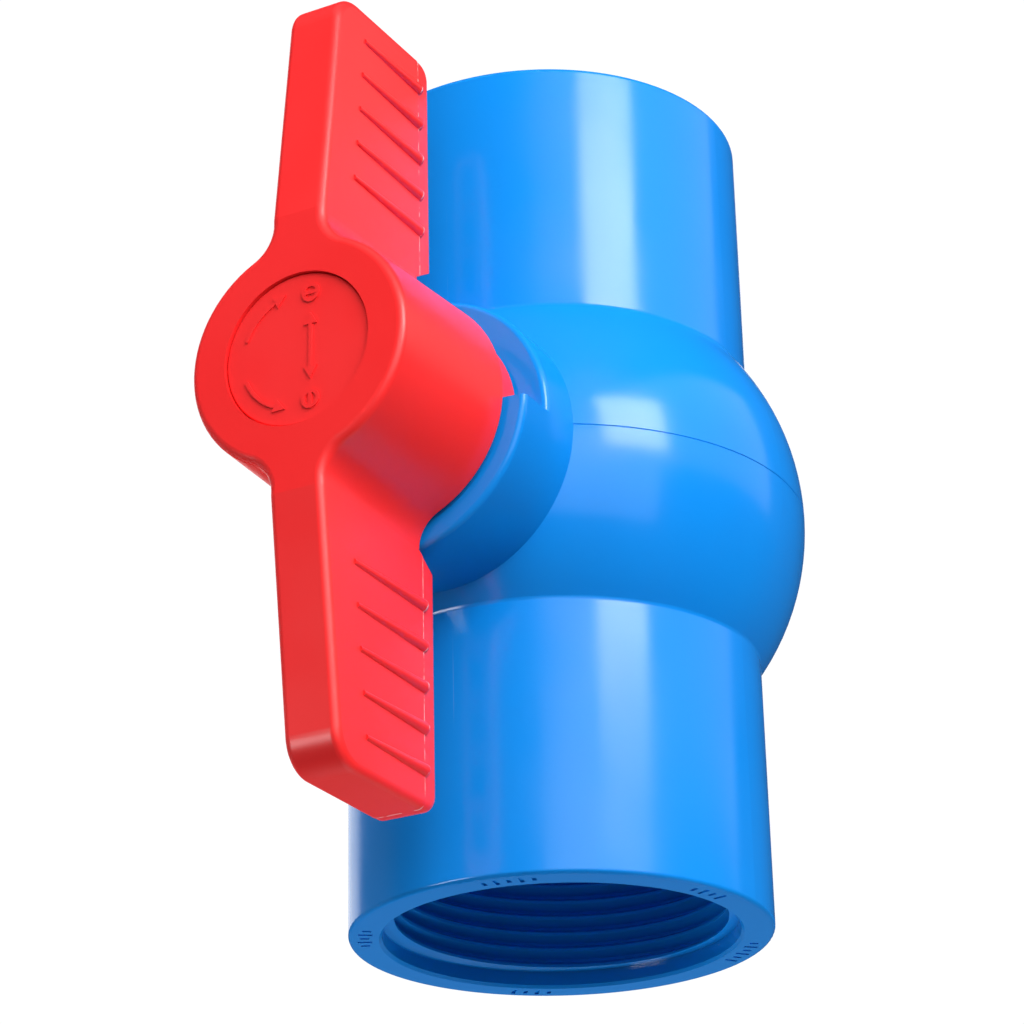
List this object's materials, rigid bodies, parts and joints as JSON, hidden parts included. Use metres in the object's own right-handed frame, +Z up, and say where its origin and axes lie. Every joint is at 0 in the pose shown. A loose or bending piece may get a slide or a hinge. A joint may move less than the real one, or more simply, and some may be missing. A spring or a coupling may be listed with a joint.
{
  "type": "ball valve",
  "caption": "Compact plastic ball valve with threaded ports: a blue body with a round middle, a red two-armed quarter-turn handle, and a bored ball between sealed seats.",
  "frame": {"origin": "centre of the lower end face, on the pipe axis", "axes": "+Z up along the pipe axis; the stem and handle point to -Y; +X to the right seen from the handle"},
  "size_m": [0.0714, 0.1029, 0.118],
  "materials": {
    "body_blue": "glossy moulded PVC, blue",
    "carrier_blue": "moulded PVC, blue",
    "handle_red": "satin gloss moulded ABS, red",
    "cap_red": "satin gloss moulded ABS, red",
    "ball_white": "polished moulded plastic",
    "stem_grey": "moulded plastic",
    "seat_white": "matte PTFE",
    "seal_rubber": "black nitrile rubber",
    "screw_steel": "plated steel"
  },
  "bodies": {
    "housing": {"body_lower": "body_blue", "body_upper": "body_blue", "stem_collar": "body_blue", "seat_carrier_lower": "carrier_blue", "seat_carrier_upper": "carrier_blue", "seat_lower": "seat_white", "seat_upper": "seat_white", "seat_backing_ring_lower": "seal_rubber", "seat_backing_ring_upper": "seal_rubber", "carrier_ring_lower": "seal_rubber", "carrier_ring_upper": "seal_rubber"},
    "handle_and_stem": {"stem": "stem_grey", "stem_thrust_washer": "seat_white", "stem_ring_inner": "seal_rubber", "stem_ring_outer": "seal_rubber", "handle": "handle_red", "handle_cap": "cap_red", "handle_screw": "screw_steel", "handle_screw_washer": "screw_steel"},
    "flow_ball": {"ball": "ball_white"}
  },
  "joints": [
    {"name": "handle_turn", "type": "hinge", "parent": "housing", "child": "handle_and_stem", "pos_m": [0, 0, 0.059], "axis": [0, 1, 0], "range_deg": [0, 90]},
    {"name": "ball_turn", "type": "hinge", "parent": "housing", "child": "flow_ball", "pos_m": [0, 0, 0.059], "axis": [0, 1, 0], "range_deg": [0, 90]}
  ],
  "couplings": [
    {"joint": "ball_turn", "follows": "handle_turn", "ratio": 1}
  ]
}
